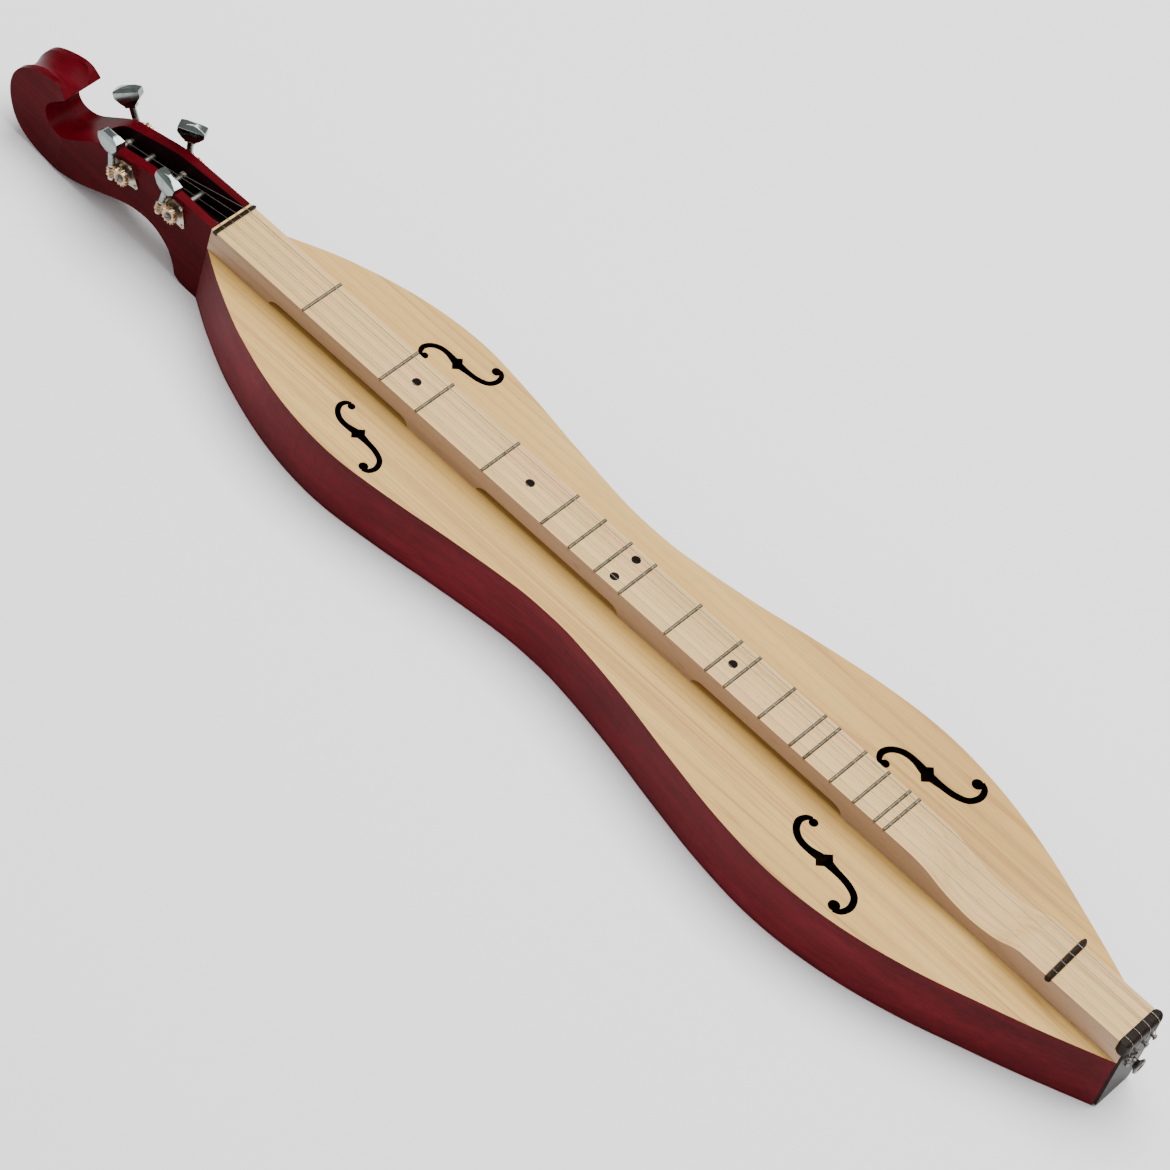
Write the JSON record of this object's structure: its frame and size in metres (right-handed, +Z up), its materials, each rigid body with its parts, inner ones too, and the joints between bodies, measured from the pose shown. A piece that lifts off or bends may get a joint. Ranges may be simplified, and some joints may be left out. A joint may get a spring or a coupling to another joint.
{
  "type": "appalachian dulcimer",
  "caption": "Hourglass fretted zither with a raised fretboard, f-shaped soundholes, a scrolled pegbox with geared tuners, and a strum scoop.",
  "frame": {"origin": "on the underside of the back, on the centre line, straight below the nut's front edge", "axes": "+X along the strings from the scroll to the tail, +Y to the side away from the player, +Z up out of the soundboard"},
  "size_m": [0.9902, 0.1688, 0.091],
  "materials": {
    "spruce_top": "satin, pale straight-grained softwood",
    "red_wood": "satin burgundy stain",
    "head_wood": "satin dark red stain",
    "fretboard_wood": "bare pale wood, light satin",
    "inner_wood": "raw",
    "dark_wood": "satin black-brown",
    "black_inlay": "satin black",
    "fret_wire": "dull nickel",
    "string_steel": "bright",
    "chrome_metal": "polished",
    "plate_metal": "nickel plated",
    "gear_brass": "satin",
    "pin_steel": "darkened"
  },
  "bodies": {
    "instrument": {"soundboard": "spruce_top", "back_plate": "red_wood", "side_near": "red_wood", "side_far": "red_wood", "head": "head_wood", "neck_dowels": "inner_wood", "head_block": "inner_wood", "tail_block": "inner_wood", "lining_top_near": "inner_wood", "lining_top_far": "inner_wood", "lining_back_near": "inner_wood", "lining_back_far": "inner_wood", "fretboard": "fretboard_wood", "frets": "fret_wire", "position_dots": "black_inlay", "nut": "dark_wood", "bridge": "dark_wood", "end_cap": "dark_wood", "end_plate": "dark_wood", "hitch_pins": "pin_steel", "strap_button": "pin_steel", "strap_screw": "pin_steel", "plate_screws": "plate_metal", "top_brace_1": "inner_wood", "top_brace_2": "inner_wood", "back_brace_1": "inner_wood", "back_brace_2": "inner_wood", "back_brace_3": "inner_wood", "string_1": "string_steel", "string_2": "string_steel", "string_3": "string_steel", "string_4": "string_steel", "plate_1": "plate_metal", "plate_2": "plate_metal", "plate_3": "plate_metal", "plate_4": "plate_metal"},
    "tuner_knob_1": {"knob_1": "chrome_metal", "worm_1": "gear_brass"},
    "string_post_1": {"post_1": "pin_steel", "gear_1": "gear_brass", "gear_screw_1": "pin_steel", "winding_1": "string_steel"},
    "tuner_knob_2": {"knob_2": "chrome_metal", "worm_2": "gear_brass"},
    "string_post_2": {"post_2": "pin_steel", "gear_2": "gear_brass", "gear_screw_2": "pin_steel", "winding_2": "string_steel"},
    "tuner_knob_3": {"knob_3": "chrome_metal", "worm_3": "gear_brass"},
    "string_post_3": {"post_3": "pin_steel", "gear_3": "gear_brass", "gear_screw_3": "pin_steel", "winding_3": "string_steel"},
    "tuner_knob_4": {"knob_4": "chrome_metal", "worm_4": "gear_brass"},
    "string_post_4": {"post_4": "pin_steel", "gear_4": "gear_brass", "gear_screw_4": "pin_steel", "winding_4": "string_steel"}
  },
  "joints": [
    {"name": "knob_1_turn", "type": "hinge", "parent": "instrument", "child": "tuner_knob_1", "pos_m": [-0.04577, -0.0223, 0.05858], "axis": [0.0872, 0, 0.9962], "continuous": true},
    {"name": "knob_2_turn", "type": "hinge", "parent": "instrument", "child": "tuner_knob_2", "pos_m": [-0.09023, -0.0223, 0.05148], "axis": [-0.1908, 0, 0.9816], "continuous": true},
    {"name": "knob_3_turn", "type": "hinge", "parent": "instrument", "child": "tuner_knob_3", "pos_m": [-0.06448, 0.0223, 0.05707], "axis": [-0.0698, 0, 0.9976], "continuous": true},
    {"name": "knob_4_turn", "type": "hinge", "parent": "instrument", "child": "tuner_knob_4", "pos_m": [-0.10905, 0.0223, 0.0443], "axis": [-0.5446, 0, 0.8387], "continuous": true},
    {"name": "post_1_turn", "type": "hinge", "parent": "instrument", "child": "string_post_1", "pos_m": [-0.0368, -0.0223, 0.0578], "axis": [0, -1, 0], "continuous": true},
    {"name": "post_2_turn", "type": "hinge", "parent": "instrument", "child": "string_post_2", "pos_m": [-0.0814, -0.0223, 0.0532], "axis": [0, -1, 0], "continuous": true},
    {"name": "post_3_turn", "type": "hinge", "parent": "instrument", "child": "string_post_3", "pos_m": [-0.0555, 0.0223, 0.0577], "axis": [0, 1, 0], "continuous": true},
    {"name": "post_4_turn", "type": "hinge", "parent": "instrument", "child": "string_post_4", "pos_m": [-0.1015, 0.0223, 0.0492], "axis": [0, 1, 0], "continuous": true}
  ],
  "couplings": [
    {"joint": "post_1_turn", "follows": "knob_1_turn", "ratio": 0.071429},
    {"joint": "post_2_turn", "follows": "knob_2_turn", "ratio": 0.071429},
    {"joint": "post_3_turn", "follows": "knob_3_turn", "ratio": 0.071429},
    {"joint": "post_4_turn", "follows": "knob_4_turn", "ratio": 0.071429}
  ]
}
